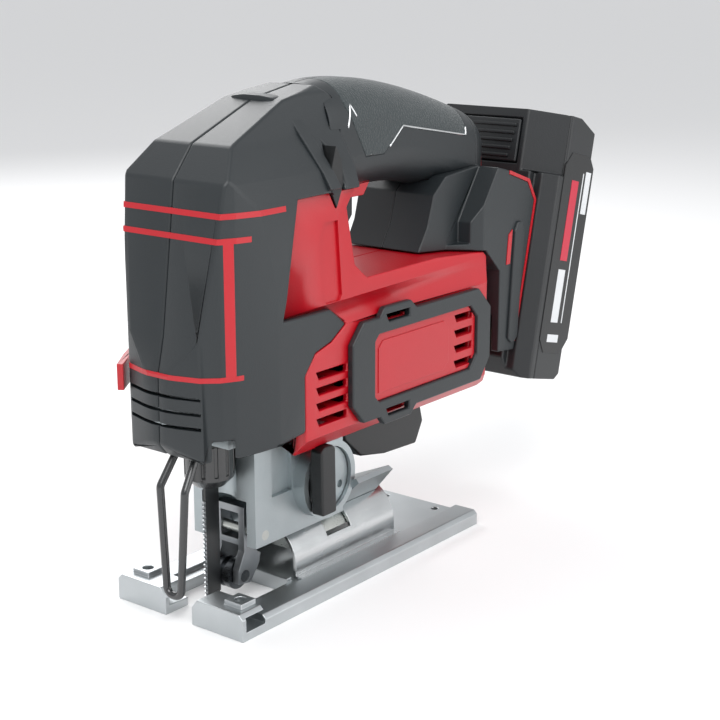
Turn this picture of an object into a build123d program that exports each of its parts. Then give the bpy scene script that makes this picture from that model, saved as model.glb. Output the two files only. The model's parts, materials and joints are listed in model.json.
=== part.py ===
"""Cordless top-handle jigsaw: every piece is its own solid in its own STEP file.

Frame: millimetres, +X towards the battery, +Y to the tool's right, +Z up.
The origin is where the blade line meets the sole of the shoe.
"""
import math
import os

from build123d import *

os.makedirs("parts", exist_ok=True)

# ---------------------------------------------------------------- fits
RUN = 0.05          # radial clearance of a pin that turns in a round hole
GAP = 0.3           # gap between faces that move past each other
WALL = 2.5          # moulded shell wall

# ---------------------------------------------------------------- shoe
SHOE_FRONT, SHOE_LENGTH, SHOE_HALF = -18.5, 152.0, 32.5
SHOE_REAR = SHOE_FRONT + SHOE_LENGTH
RAIL_IN, RAIL_TOP, RAIL_CHAMFER = 21.0, 6.5, 1.6
PLATE_TOP = 4.5
FOOT_REAR, FOOT_TOP, FOOT_IN, FOOT_IN_TOP = -6.5, 10.5, 6.75, 9.5
WINDOW_REAR, WINDOW_HALF = 25.0, 16.0
BOSS_X, BOSS_Y, BOSS_HALF_X, BOSS_HALF_Y, BOSS_TOP = -10.5, 24.0, 4.0, 4.3, 12.4
GUIDE_SCREW_R = 2.1
SLOT_X0, SLOT_X1, SLOT_Z0, SLOT_Z1 = -16.3, -6.0, 3.4, 8.9
BAR_LENGTH, BAR_TOP = 3.0, 6.0
REAR_HOLE_X, REAR_HOLE_Y, REAR_HOLE_R = 128.0, 13.5, 1.5

# ---------------------------------------------------------------- tilting saddle
TILT_Z = 9.7                      # height of the bevel axis
SADDLE_X0, SADDLE_X1, SADDLE_R, SADDLE_T = 30.0, 94.0, 16.5, 1.5
SADDLE_LIP, SADDLE_LIP_T = 20.0, 1.2
CLAMP_X, CLAMP_SLOT = 58.5, 15.0
CLAMP_SLOT_ANGLE = 68.0
CLAMP_BOLT_R, CLAMP_BLOCK_LENGTH = 3.0, 34.0

# ---------------------------------------------------------------- motor and gears
MOTOR_Z = 90.0
MODULE, PINION_TEETH, GEAR_TEETH = 1.0, 12, 40
CRANK_Z = MOTOR_Z + MODULE * (PINION_TEETH + GEAR_TEETH) / 2
STROKE = 25.4
CRANK_R = STROKE / 2
GEAR_X0, GEAR_WIDTH, AXLE_R = 14.0, 6.0, 4.0
PIN_R, YOKE_X0, YOKE_X1 = 2.5, 5.6, 11.3
YOKE_PLAY = 2.8                   # the open pivot's extra height in the yoke's slot
SHAFT_R, STATOR_R, STATOR_BORE = 2.5, 25.0, 12.0
STATOR_X0, STATOR_LENGTH = 62.0, 30.0
FAN_X0, FAN_LENGTH, FAN_R, FAN_BLADES = 96.0, 8.0, 24.0, 11
BEARING_R, BEARING_LENGTH = 8.0, 6.0
FRONT_BEARING_X, REAR_BEARING_X = 35.0, 108.0

# ---------------------------------------------------------------- plunger, clamp and blade
ROD_R, ROD_Z0, ROD_TOP = 5.0, 60.0, 172.0
BUSH_R, LOWER_BUSH_Z, UPPER_BUSH_Z, BUSH_LENGTH = 7.2, 69.5, 143.5, 10.5
CORE_R, CORE_Z0, CORE_Z1 = 6.0, 50.5, 66.0
COLLAR_R, COLLAR_Z0, COLLAR_Z1, COLLAR_CONE = 9.5, 49.0, 65.8, 3.5
BLADE_HALF, BLADE_T, BLADE_TIP, BLADE_BACK_TIP, BLADE_SOCKET_TOP = 4.05, 1.2, 1.4, 4.8, 59.5
TOOTH_PITCH, TOOTH_DEPTH, TEETH_TOP = 1.8, 1.0, 44.0

# ---------------------------------------------------------------- cast gear housing
CASE_X0, CASE_X1, CASE_HALF, CASE_Z0, CASE_Z1, CASE_T = -10.5, 31.0, 24.5, 69.0, 151.0, 3.0
COVER_T, COVER_HALF = 2.5, 20.0
LUG_X0, LUG_HALF, LUG_TOP = -14.0, 8.0, 74.0
PILLAR_X0, PILLAR_X1, PILLAR_HALF, PILLAR_Z0, PILLAR_Z1 = 7.5, 60.0, 16.0, 24.0, 57.5
FORK_BAY_X1, FORK_BAY_HALF, FORK_BAY_TOP = 24.0, 11.5, 42.0
RING_X, RING_Z, RING_R, RING_T, RING_OUT = 45.0, 43.0, 15.8, 2.6, 21.7
TROUGH_X1, TROUGH_Y0, TROUGH_Z0, TROUGH_Y1, TROUGH_Z1, TROUGH_T = 92.0, 8.8, 22.8, 25.0, 38.0, 2.2

# ---------------------------------------------------------------- orbit fork
FORK_PIN_X, FORK_PIN_Z, FORK_PIN_R = 13.0, 28.0, 2.0
ROLLER_X, ROLLER_Z, ROLLER_R, ROLLER_HALF, ROLLER_PIN_R = 10.45, 10.0, 6.0, 4.0, 2.4
FORK_HALF, FORK_TOP, FORK_T = 7.6, 38.0, 2.8

# ---------------------------------------------------------------- battery frame
TILT = 13.2                       # the battery's lean, top to the rear
BATTERY_U0, BATTERY_LENGTH = 96.0, 117.6
BATTERY_W0, BATTERY_T, BATTERY_HALF = 138.9, 44.5, 36.5
LIP_OVER, LIP_HALF, FOOT_HALF = 3.9, 27.3, 30.0
CELL_R, CELL_LENGTH, CELL_INSET = 9.2, 65.0, 37.0
CELL_COUNT = int((BATTERY_LENGTH - CELL_INSET) / (2 * CELL_R + 1)) + 1
LATCH_U0, LATCH_U1, LATCH_HALF = 190.0, 209.0, 19.0

# ---------------------------------------------------------------- shells
BARREL_HALF, FRAME_T = 32.0, 3.0
BARREL_Z0, BARREL_Z1, BARREL_X1 = 60.0, 122.0, 150.0
HANDLE_STATIONS = [               # x, centre z, half height, half width
    (50, 175.0, 19.5, 18.5), (75, 174.0, 21.6, 18.5), (100, 172.3, 19.9, 18.0),
    (125, 167.0, 19.2, 17.5), (150, 160.0, 18.4, 17.0)]
TRIGGER_X0, TRIGGER_X1, TRIGGER_HALF, TRIGGER_Z0, TRIGGER_Z1 = 62.0, 78.0, 7.5, 136.0, 158.0
BUTTON_OUT = 27.0
RELEASE_X, RELEASE_Y, RELEASE_PIN_R = -4.5, 34.2, 1.0
SCREW_R, SCREW_HEAD_R, SCREW_HEAD_T, BOSS_R = 1.5, 3.0, 2.2, 4.0
TRIM_DEPTH, GRIP_T, BADGE_T = 0.9, 2.0, 1.6
FAR = 400.0


# ================================================================ helpers
def side_plane(y):
    return Plane((0, y, 0), x_dir=(1, 0, 0), z_dir=(0, -1, 0))


def front_plane(x):
    return Plane((x, 0, 0), x_dir=(0, 1, 0), z_dir=(1, 0, 0))


def prism(plane, face, length):
    """Push a face of the plane along the plane's normal, whichever way its outline runs."""
    return extrude(plane * face, length, dir=plane.z_dir)


def side(points, y0, y1):
    """A side outline (x, z) as a solid from y0 to y1."""
    return prism(side_plane(y1), Polygon(*points, align=None), y1 - y0)


def plan(points, z0, z1):
    """A plan outline (x, y) as a solid from z0 to z1."""
    return prism(Plane((0, 0, z0)), Polygon(*points, align=None), z1 - z0)


def front(points, x0, x1):
    """A front outline (y, z) as a solid from x0 to x1."""
    return prism(front_plane(x0), Polygon(*points, align=None), x1 - x0)


def block(x0, x1, y0, y1, z0, z1):
    return Pos(x0, y0, z0) * Box(x1 - x0, y1 - y0, z1 - z0, align=(Align.MIN,) * 3)


def cyl(axis, start, end, a, b, r):
    """A cylinder along one axis; a and b are its other two coordinates, in X, Y, Z order."""
    places = {"x": ((start, a, b), (1, 0, 0)), "y": ((a, start, b), (0, 1, 0)), "z": ((a, b, start), (0, 0, 1))}
    origin, direction = places[axis]
    return prism(Plane(origin, z_dir=direction), Circle(r), end - start)


def tube(axis, start, end, a, b, outer, inner):
    return cyl(axis, start, end, a, b, outer) - cyl(axis, start - 1, end + 1, a, b, inner)


def mirror_points(points):
    """Close a half outline given from one side of the centre line to the other."""
    return points + [(x, -y) for x, y in reversed(points)]


def mirror_widths(points):
    """Close a half outline whose first value is the half width."""
    return [(-y, z) for y, z in points] + [(y, z) for y, z in reversed(points)]


def inset_points(points, amount):
    """Move every edge of a closed outline inwards by amount, and meet neighbours again."""
    area = sum(a[0] * b[1] - b[0] * a[1] for a, b in zip(points, points[1:] + points[:1]))
    inward = amount if area > 0 else -amount
    lines = []
    for a, b in zip(points, points[1:] + points[:1]):
        length = math.dist(a, b)
        nx, nz = -(b[1] - a[1]) / length, (b[0] - a[0]) / length
        lines.append((nx, nz, nx * a[0] + nz * a[1] + inward))
    corners = []
    for (a, b, c), (d, e, f) in zip(lines[-1:] + lines[:-1], lines):
        det = a * e - b * d
        corners.append(((c * e - b * f) / det, (a * f - c * d) / det))
    return corners


def both_sides(make):
    return make(-1) + make(1)


def cut(solid, *tools):
    for tool in tools:
        solid = solid - tool
    return solid


def solids(shape):
    """Every closed solid in a result, largest first."""
    return sorted(Compound(shape.wrapped if hasattr(shape, "wrapped") else shape).solids(), key=lambda s: -s.volume)


def save(node, shape, pieces=1):
    """Write one node; pieces is how many separate solids it is made of."""
    found = solids(shape)[:pieces]
    export_step(Compound(found) if pieces > 1 else found[0], f"parts/{node}.step")


def save_halves(node, shape):
    save(node + "_left", shape & block(-FAR, FAR, -FAR, 0, -FAR, FAR))
    save(node + "_right", shape & block(-FAR, FAR, 0, FAR, -FAR, FAR))


def tilted(u, w):
    """The battery's own directions (u along it, w through it) as x and z."""
    a = math.radians(TILT)
    return (u * math.sin(a) + w * math.cos(a), u * math.cos(a) - w * math.sin(a))


def tilted_block(u0, u1, w0, w1, y0, y1):
    return side([tilted(u0, w0), tilted(u1, w0), tilted(u1, w1), tilted(u0, w1)], y0, y1)


def lean_plane(u):
    """The plane across the battery at a height u along it; its x runs through the battery."""
    a = math.radians(TILT)
    x, z = tilted(u, 0)
    return Plane((x, 0, z), x_dir=(math.cos(a), 0, -math.sin(a)), z_dir=(math.sin(a), 0, math.cos(a)))


def gear_outline(teeth, addendum, thinning):
    """Involute teeth, the first centred on the local x axis."""
    pitch_r = MODULE * teeth / 2
    base_r, tip_r, root_r = pitch_r * math.cos(math.radians(20)), pitch_r + addendum, pitch_r - 1.25 * MODULE
    half_at_pitch = (math.pi * MODULE / 2 - thinning) / 2 / pitch_r

    def half_angle(r):
        if r <= base_r:
            return half_angle(base_r + 1e-9)
        involute = lambda q: math.sqrt((q / base_r) ** 2 - 1) - math.acos(base_r / q)
        return half_at_pitch + involute(pitch_r) - involute(r)

    radii = [root_r] + [max(base_r, root_r) + k * (tip_r - max(base_r, root_r)) / 4 for k in range(5)]
    points = []
    for tooth in range(teeth):
        middle = 2 * math.pi * tooth / teeth
        for sign, order in ((-1, radii), (1, radii[::-1])):
            points += [(r * math.cos(middle + sign * half_angle(r)), r * math.sin(middle + sign * half_angle(r)))
                       for r in order]
    return Polygon(*points, align=None)


def gear(x0, width, z, teeth, addendum, turn):
    outline = gear_outline(teeth, addendum, 0.12)
    return prism(Plane((x0, 0, z), x_dir=(0, 1, 0), z_dir=(1, 0, 0)), Rot(0, 0, turn) * outline, width)


# ================================================================ shoe and saddle
def make_shoe():
    def rail(s):
        c = RAIL_CHAMFER
        return front([(s * RAIL_IN, 0), (s * SHOE_HALF, 0), (s * SHOE_HALF, RAIL_TOP - c),
                      (s * (SHOE_HALF - c), RAIL_TOP), (s * RAIL_IN, RAIL_TOP)], SHOE_FRONT, SHOE_REAR)

    def foot(s):
        outline = [(s * FOOT_IN, 0), (s * SHOE_HALF, 0), (s * SHOE_HALF, FOOT_TOP - 2),
                   (s * (SHOE_HALF - 2), FOOT_TOP), (s * FOOT_IN_TOP, FOOT_TOP), (s * FOOT_IN, FOOT_TOP - 3.5)]
        y0, y1 = sorted((s * (BOSS_Y - BOSS_HALF_Y), s * (BOSS_Y + BOSS_HALF_Y)))
        boss = block(BOSS_X - BOSS_HALF_X, BOSS_X + BOSS_HALF_X, y0, y1, RAIL_TOP, BOSS_TOP)
        return front(outline, SHOE_FRONT, FOOT_REAR) + boss

    plate = block(SHOE_FRONT, SHOE_REAR, -RAIL_IN, RAIL_IN, 0, PLATE_TOP)
    window = block(FOOT_REAR, WINDOW_REAR, -WINDOW_HALF, WINDOW_HALF, -1, FAR)
    nose_gap = block(SHOE_FRONT - 1, FOOT_REAR + 1, -FOOT_IN, FOOT_IN, -1, FAR)
    bar = block(WINDOW_REAR, WINDOW_REAR + BAR_LENGTH, -WINDOW_HALF, WINDOW_HALF, 0, BAR_TOP)
    shoe = cut(plate, window, nose_gap) + bar + both_sides(rail) + both_sides(foot)
    guide_slot = block(SLOT_X0, SLOT_X1, -FAR, FAR, SLOT_Z0, SLOT_Z1)
    holes = [cyl("z", SLOT_Z0, FAR, BOSS_X, s * BOSS_Y, GUIDE_SCREW_R) for s in (-1, 1)]
    holes += [cyl("z", -1, FAR, REAR_HOLE_X, s * REAR_HOLE_Y, REAR_HOLE_R) for s in (-1, 1)]
    return cut(shoe, guide_slot, *holes)


def make_saddle():
    arch = tube("x", SADDLE_X0, SADDLE_X1, 0, TILT_Z, SADDLE_R, SADDLE_R - SADDLE_T)
    arch = arch & block(0, FAR, -FAR, FAR, TILT_Z, FAR)
    lip = block(SADDLE_X0, SADDLE_X1, -SADDLE_LIP, SADDLE_LIP, PLATE_TOP, PLATE_TOP + SADDLE_LIP_T)
    legs = block(SADDLE_X0, SADDLE_X1, -SADDLE_R, SADDLE_R, PLATE_TOP, TILT_Z)
    inside = block(SADDLE_X0 - 1, SADDLE_X1 + 1, SADDLE_T - SADDLE_R, SADDLE_R - SADDLE_T, 0, TILT_Z)
    a = math.radians(CLAMP_SLOT_ANGLE)
    reach = 2 * SADDLE_R
    wedge = front([(0, TILT_Z), (-reach * math.sin(a), TILT_Z + reach * math.cos(a)), (-reach, TILT_Z + 3 * reach),
                   (reach, TILT_Z + 3 * reach), (reach * math.sin(a), TILT_Z + reach * math.cos(a))],
                  CLAMP_X - CLAMP_SLOT / 2, CLAMP_X + CLAMP_SLOT / 2)
    return cut(arch + lip + legs, inside, wedge)


def make_clamp_block():
    """The half-round nut inside the saddle, narrow enough below for the plate to tilt."""
    r = SADDLE_R - SADDLE_T - GAP
    low = PLATE_TOP - TILT_Z + 1.2
    outline = [(-r / 2.4, TILT_Z + low + 4.5), (r / 2.4, TILT_Z + low + 4.5), (r, TILT_Z + 8.5), (r, TILT_Z + r),
               (-r, TILT_Z + r), (-r, TILT_Z + 8.5)]
    x0, x1 = CLAMP_X - CLAMP_BLOCK_LENGTH / 2, CLAMP_X + CLAMP_BLOCK_LENGTH / 2
    return cut(front(outline, x0, x1) & cyl("x", x0, x1, 0, TILT_Z, r), clamp_bolt())


def clamp_bolt():
    head = cyl("z", TILT_Z + SADDLE_R + 4, TILT_Z + SADDLE_R + 8, CLAMP_X, 0, CLAMP_BOLT_R * 1.7)
    return cyl("z", TILT_Z + 4, TILT_Z + SADDLE_R + 4, CLAMP_X, 0, CLAMP_BOLT_R) + head


# ================================================================ cast gear housing
def chamber_form(grow):
    """The gear chamber's front outline, with its sloping shoulders, as a long solid."""
    half, top = CASE_HALF + grow, CASE_Z1 + grow
    return front(mirror_widths([(half, 50), (half, top - 11), (half - 5, top)]), CASE_X0 - 1, CASE_X1 + max(grow, 0))


def make_gear_housing():
    mouth, rear = CASE_X0 + COVER_T, CASE_X1 - CASE_T
    wide, narrow = CASE_HALF - CASE_T, COVER_HALF - CASE_T
    walls = mirror_points([(mouth, COVER_HALF), (mouth + 10, CASE_HALF), (CASE_X1, CASE_HALF)])
    chamber = plan(walls, CASE_Z0, CASE_Z1)
    room = mirror_points([(mouth - 1, narrow), (mouth, narrow), (mouth + 10, wide), (rear, wide)])
    chamber = (chamber & chamber_form(0)) - (plan(room, CASE_Z0 + 7, CASE_Z1 - CASE_T) & chamber_form(-CASE_T))
    pillar = block(PILLAR_X0, PILLAR_X1, -PILLAR_HALF, PILLAR_HALF, PILLAR_Z0, PILLAR_Z1)
    pillar += block(PILLAR_X0, CASE_X1, -PILLAR_HALF, PILLAR_HALF, PILLAR_Z1, CASE_Z0)
    wall = 4
    hollow = block(FORK_BAY_X1 + wall, PILLAR_X1 - wall, wall - PILLAR_HALF, PILLAR_HALF - wall, PILLAR_Z0 + 10,
                   PILLAR_Z1 - wall)
    fork_bay = block(PILLAR_X0 - 1, FORK_BAY_X1, -FORK_BAY_HALF, FORK_BAY_HALF, PILLAR_Z0 - 1, FORK_BAY_TOP)
    recess = block(17, 28.5, -PILLAR_HALF - 1, 2 - PILLAR_HALF, FORK_BAY_TOP, 61)
    ring = cyl("y", -RING_OUT, -PILLAR_HALF, RING_X, RING_Z, RING_R)
    ring -= cyl("y", -RING_OUT - 1, -PILLAR_HALF - 1, RING_X, RING_Z, RING_R - RING_T)

    def trough_wall(s):
        dy, dz = TROUGH_Y1 - TROUGH_Y0, TROUGH_Z1 - TROUGH_Z0
        n = TROUGH_T / math.hypot(dy, dz)
        outline = [(s * TROUGH_Y0, TROUGH_Z0), (s * TROUGH_Y1, TROUGH_Z1),
                   (s * (TROUGH_Y1 - n * dz), TROUGH_Z1 + n * dy), (0, TROUGH_Z0 + 6), (0, TROUGH_Z0)]
        return front(outline, PILLAR_X1 - 1, TROUGH_X1)

    tail = [(TROUGH_X1 - 14, TROUGH_Z1 + 6), (TROUGH_X1 + 1, TROUGH_Z1 + 6), (TROUGH_X1 + 1, TROUGH_Z0 - 4)]
    tail_cut = side(tail, -FAR, FAR)
    casting = chamber + pillar + ring + both_sides(trough_wall)
    seat = cyl("x", SADDLE_X0 - GAP, FAR, 0, TILT_Z, SADDLE_R + GAP)
    bolt_room = cyl("z", TILT_Z + SADDLE_R + 3, TILT_Z + SADDLE_R + 8, CLAMP_X, 0, CLAMP_BOLT_R * 1.7)
    bores = [cyl("z", PILLAR_Z0 - 1, CASE_Z0, 0, 0, COLLAR_R + 0.5),
             cyl("z", CASE_Z0 - 1, CASE_Z1 + 1, 0, 0, BUSH_R),
             cyl("x", CASE_X1 - CASE_T - 1, CASE_X1 + 1, 0, MOTOR_Z, PINION_TEETH * MODULE / 2 + 2),
             cyl("x", CASE_X1 - CASE_T - 1, CASE_X1 + 1, 0, CRANK_Z, AXLE_R),
             cyl("y", -FAR, FAR, FORK_PIN_X, FORK_PIN_Z, FORK_PIN_R),
             cyl("y", -RING_OUT, 0, RING_X, RING_Z, 3 + RUN),
             cyl("z", 0, TILT_Z + SADDLE_R + 5, CLAMP_X, 0, CLAMP_BOLT_R)]
    return cut(casting, hollow, fork_bay, recess, tail_cut, seat, bolt_room, *bores)


def make_gear_cover():
    """The chamber's front plate, with the lug that the wire guard's ends sit in."""
    plate = block(CASE_X0, CASE_X0 + COVER_T, -COVER_HALF, COVER_HALF, CASE_Z0, CASE_Z1)
    return plate + block(LUG_X0, CASE_X0, -LUG_HALF, LUG_HALF, CASE_Z0, LUG_TOP)


def make_wire_guard():
    leg = [(LUG_X0 + 2.2, 5.0, CASE_Z0), (LUG_X0 + 2.2, 5.0, CASE_Z0 - 5), (-19.6, 6.3, 52.0), (-20.4, 3.6, 10.5)]
    points = [(x, -y, z) for x, y, z in leg] + list(reversed(leg))
    path = FilletPolyline(*points, radius=3.3)
    return sweep(Plane(path @ 0, z_dir=path % 0) * Circle(1.5), path)


# ================================================================ drive
def make_crank():
    wheel = gear(GEAR_X0, GEAR_WIDTH, CRANK_Z, GEAR_TEETH, 0.75, 180 / GEAR_TEETH)
    hub = cyl("x", GEAR_X0, GEAR_X0 + GEAR_WIDTH + 3, 0, CRANK_Z, AXLE_R + 4)
    pin = cyl("x", YOKE_X0, GEAR_X0, 0, CRANK_Z + CRANK_R, PIN_R - 1)
    return wheel + hub + pin - cyl("x", GEAR_X0 - 1, FAR, 0, CRANK_Z, AXLE_R + RUN)


def make_yoke():
    z = CRANK_Z + CRANK_R
    slot_y, slot_z = CRANK_R + PIN_R + GAP, PIN_R + 0.15 + YOKE_PLAY
    plate = block(YOKE_X0, YOKE_X1, -slot_y - 4, slot_y + 4, z - slot_z - 4, z + slot_z + 4)
    slot = block(YOKE_X0 - 1, YOKE_X1 + 1, -slot_y, slot_y, z - slot_z, z + slot_z)
    boss = cyl("z", z - slot_z - 4, z + slot_z + 4, 0, 0, ROD_R + 2.5)
    boss = boss & block(-FAR, YOKE_X0, -FAR, FAR, 0, FAR)
    return cut(plate, slot) + boss - cyl("z", 0, FAR, 0, 0, ROD_R)


def make_fan():
    hub = cyl("x", FAN_X0, FAN_X0 + FAN_LENGTH, 0, MOTOR_Z, 8)
    plate = cyl("x", FAN_X0, FAN_X0 + 1.5, 0, MOTOR_Z, FAN_R)
    vane = block(FAN_X0, FAN_X0 + FAN_LENGTH, 6, FAN_R - 1, -0.7, 0.7)
    for k in range(FAN_BLADES):
        plate += Pos(0, 0, MOTOR_Z) * (Rot(360 * k / FAN_BLADES, 0, 0) * vane)
    return plate + hub - cyl("x", 0, FAR, 0, MOTOR_Z, SHAFT_R)


def make_stator():
    ring = tube("x", STATOR_X0, STATOR_X0 + STATOR_LENGTH, 0, MOTOR_Z, STATOR_R, STATOR_R - 4)
    pole = block(STATOR_X0, STATOR_X0 + STATOR_LENGTH, STATOR_BORE, STATOR_R - 3, -3, 3)
    for k in range(6):
        ring += Pos(0, 0, MOTOR_Z) * (Rot(60 * k, 0, 0) * pole)
    return ring


def bearing(x0):
    return tube("x", x0, x0 + BEARING_LENGTH, 0, MOTOR_Z, BEARING_R, SHAFT_R + RUN)


# ================================================================ plunger and blade
def make_clamp_core():
    core = cyl("z", CORE_Z0, CORE_Z1, 0, 0, CORE_R)
    socket = block(-BLADE_HALF - 0.05, BLADE_HALF + 0.05, -BLADE_T / 2 - 0.05, BLADE_T / 2 + 0.05, CORE_Z0 - 1, BLADE_SOCKET_TOP)
    return cut(core, socket, cyl("z", ROD_Z0, FAR, 0, 0, ROD_R))


def make_collar():
    body = cyl("z", COLLAR_Z0, COLLAR_Z1, 0, 0, COLLAR_R)
    body = chamfer(body.edges().sort_by(Axis.Z)[0], COLLAR_CONE)
    for k in range(12):
        body -= Rot(0, 0, 30 * k) * block(COLLAR_R - 0.6, COLLAR_R + 1, -0.7, 0.7, COLLAR_Z0 + 5, COLLAR_Z1 + 1)
    return cut(body, cyl("z", CORE_Z0 - 0.5, FAR, 0, 0, CORE_R + RUN), cyl("z", 0, FAR, 0, 0, BLADE_HALF + 1))


def make_blade():
    count = int((TEETH_TOP - BLADE_TIP - 1) / TOOTH_PITCH)
    points = [(BLADE_HALF, BLADE_SOCKET_TOP - 0.3), (-BLADE_HALF + TOOTH_DEPTH, BLADE_SOCKET_TOP - 0.3)]
    for k in range(count, 0, -1):
        z = BLADE_TIP + k * TOOTH_PITCH
        points += [(-BLADE_HALF + TOOTH_DEPTH, z), (-BLADE_HALF, z - 0.15 * TOOTH_PITCH)]
    points += [(-BLADE_HALF + TOOTH_DEPTH, BLADE_TIP), (BLADE_HALF, BLADE_BACK_TIP)]
    return side(points, -BLADE_T / 2, BLADE_T / 2)


# ================================================================ orbit fork
def make_fork():
    front_x, rear_x = FORK_PIN_X - FORK_T, FORK_PIN_X + FORK_T
    frame = block(front_x, rear_x, -FORK_HALF, FORK_HALF, 22, FORK_TOP)
    frame -= block(0, FAR, 3 - FORK_HALF, FORK_HALF - 3, 24.5, FORK_TOP - 3)

    def arm(s):
        y0, y1 = sorted((s * (ROLLER_HALF + GAP), s * FORK_HALF))
        outline = [(front_x, 25), (front_x, 20), (ROLLER_X - 3.6, 13), (ROLLER_X - 3.6, 7.5), (ROLLER_X + 3, 6.5),
                   (18.5, 13), (19.5, 17), (rear_x, 19.5), (rear_x, 25)]
        return side(outline, y0, y1)

    pins = [cyl("y", -FAR, FAR, FORK_PIN_X, FORK_PIN_Z, FORK_PIN_R + RUN),
            cyl("y", -FAR, FAR, ROLLER_X, ROLLER_Z, ROLLER_PIN_R)]
    return cut(frame + both_sides(arm), *pins)


def make_roller():
    wheel = cyl("y", -ROLLER_HALF, ROLLER_HALF, ROLLER_X, ROLLER_Z, ROLLER_R)
    groove = tube("y", -BLADE_T, BLADE_T, ROLLER_X, ROLLER_Z, ROLLER_R + 1, ROLLER_R - 1.5)
    return cut(wheel, groove, cyl("y", -FAR, FAR, ROLLER_X, ROLLER_Z, ROLLER_PIN_R + RUN))


def lever_outline():
    return [(33.0, 32.0), (41.5, 32.0), (41.0, 58.5), (39.0, 60.0), (34.5, 60.0), (32.5, 58.0), (32.8, 38.0)]


def make_lever():
    face = -RING_OUT - GAP
    base = side(lever_outline(), face, -PILLAR_HALF - 4) & cyl("y", face, 0, RING_X, RING_Z, RING_R - RING_T - GAP)
    return side(lever_outline(), -28, face) + base


def make_selector_disc():
    r = RING_R - RING_T - GAP
    disc = cyl("y", -PILLAR_HALF - 4, -PILLAR_HALF - 1 - GAP, RING_X, RING_Z, r)
    shaft = cyl("y", -PILLAR_HALF - 1 - GAP, -6, RING_X, RING_Z, 3)
    return disc + shaft - cyl("y", -FAR, -PILLAR_HALF - 2.4, 53, 38.6, 1.6)


# ================================================================ outer forms
NOSE_SIDE = [(-21.5, 66), (-25.6, 71), (-25.2, 97), (-21.9, 110.5), (-17, 146), (-14.4, 165), (-4.5, 177),
             (27.9, 190.5), (50, 194.5), (56, 190), (56, 157), (19.5, 156.5), (8.3, 114.5), (34, 114.5),
             (42.7, 107.5), (34, 102), (24.8, 99.4), (19.2, 92), (19.2, 70), (4.3, 68)]
HOUSING_SIDE = [(19.2, 60), (142, 60), (150, 70), (150, 110), (140, 120), (106, 122.5), (60, 122), (53, 128),
                (50, 150), (56, 157), (19.5, 156.5), (8.3, 114.5), (34, 114.5), (42.7, 107.5), (34, 102),
                (24.8, 99.4), (19.2, 92)]
NOSE_PLAN = mirror_points([(-25.6, 3), (-24.6, 8), (-21.7, 17.7), (-17, 23), (-10.7, 26.2), (5, 31),
                           (24, BARREL_HALF), (60, BARREL_HALF)])
NOSE_FRONT = mirror_widths([(28, 60), (31.9, 72), (31.9, 112), (29, 156), (26, 165), (18.5, 178), (14, 192),
                            (8, 197)])
HOUSING_FRONT = mirror_widths([(24, 59), (BARREL_HALF, 67), (BARREL_HALF, 108), (29, 115), (26, 157.5)])
HOUSING_PLAN = mirror_points([(0, 29.5), (24, BARREL_HALF), (138, BARREL_HALF), (150, 22)])


def form(side_points, plan_points, front_points, inset=0.0):
    """The solid that has these three outlines, or the same taken in by inset."""
    outlines = (side_points, plan_points, front_points)
    faces = [Polygon(*(inset_points(o, inset) if inset else o), align=None) for o in outlines]
    lengthwise = prism(side_plane(FAR), faces[0], 2 * FAR)
    upward = prism(Plane((0, 0, -FAR)), faces[1], 2 * FAR)
    across = prism(front_plane(-FAR), faces[2], 2 * FAR)
    return lengthwise & upward & across


def handle_form(inset=0.0):
    sections = []
    for x, z, half_height, half_width in HANDLE_STATIONS:
        corner = min(half_width, half_height) - inset - 2.5
        outline = RectangleRounded(2 * (half_width - inset), 2 * (half_height - inset), corner)
        sections.append(Plane((x, 0, z), x_dir=(0, 1, 0), z_dir=(1, 0, 0)) * outline)
    return loft(sections)


def head_form(inset=0.0):
    """The rounded rear end of the handle, behind its last station."""
    x, z, half_height, half_width = HANDLE_STATIONS[-1]
    sections = []
    for dx, share in ((0.0, 1.0), (8.0, 0.86), (13.0, 0.6)):
        width, height = half_width * share - inset, half_height * share - inset
        outline = RectangleRounded(2 * width, 2 * height, width - 2.5)
        place = Plane((x + dx - inset * (dx > 8), 0, z - dx * 0.25), x_dir=(0, 1, 0), z_dir=(1, 0, 0))
        sections.append(place * outline)
    return loft(sections)


FOOT_SIDE = [(124, 153), (116, 146), (112, 133), (106, 123.2), (140, 120.6), (151, 110), (151, 74),
             tilted(108, BATTERY_W0 + LIP_OVER), tilted(175, BATTERY_W0 + LIP_OVER), tilted(183, BATTERY_W0 - 4),
             tilted(184.5, 119), (148, 155)]
FOOT_PLAN = mirror_points([(104, 19), (124, 20), (138, FOOT_HALF), (190, FOOT_HALF)])
FOOT_FRONT = [(-31, 60), (-31, 160), (31, 160), (31, 60)]


def foot_cavity():
    """Room for the battery's tower and rails, open to the rear and to the top."""
    tower = tilted_block(106, 200, 126.5, BATTERY_W0 + 30, -26, 26)
    pack = tilted_block(90, 230, BATTERY_W0 - GAP, BATTERY_W0 + 40, -LIP_HALF, LIP_HALF)
    return tower + pack


def button_outline(grow=0.0):
    points = [(43.5, 150.5), (47.3, 159), (46.5, 168), (43.2, 173.5), (40.7, 166), (40.4, 157)]
    return points if not grow else [(44 + (x - 44) * (1 + grow / 3.4), 162 + (z - 162) * (1 + grow / 11)) for x, z in points]


def frame_outline():
    return [(43, 75), (50, 67), (60, 67), (63, 63.4), (80, 63.4), (84, 67), (130, 67), (137, 76), (137, 98), (128, 107),
            (84, 107), (80, 110.6), (63, 110.6), (60, 107), (50, 107), (43, 99)]


def frame_window():
    return [(57, 76), (59.5, 73.5), (122, 73.5), (127, 79), (127, 95), (122, 100.5), (59.5, 100.5), (57, 98)]


SCREWS = {                        # shell: half width under the heads, then x, z of each screw
    "housing": (24.0, [(54, 66), (134, 68), (134, 110.4), (44, 138)]),
    "handle": (12.5, [(97, 172.5), (136, 165)]),
    "foot": (24.0, [(126, 133), (155, 131)])}


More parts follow.
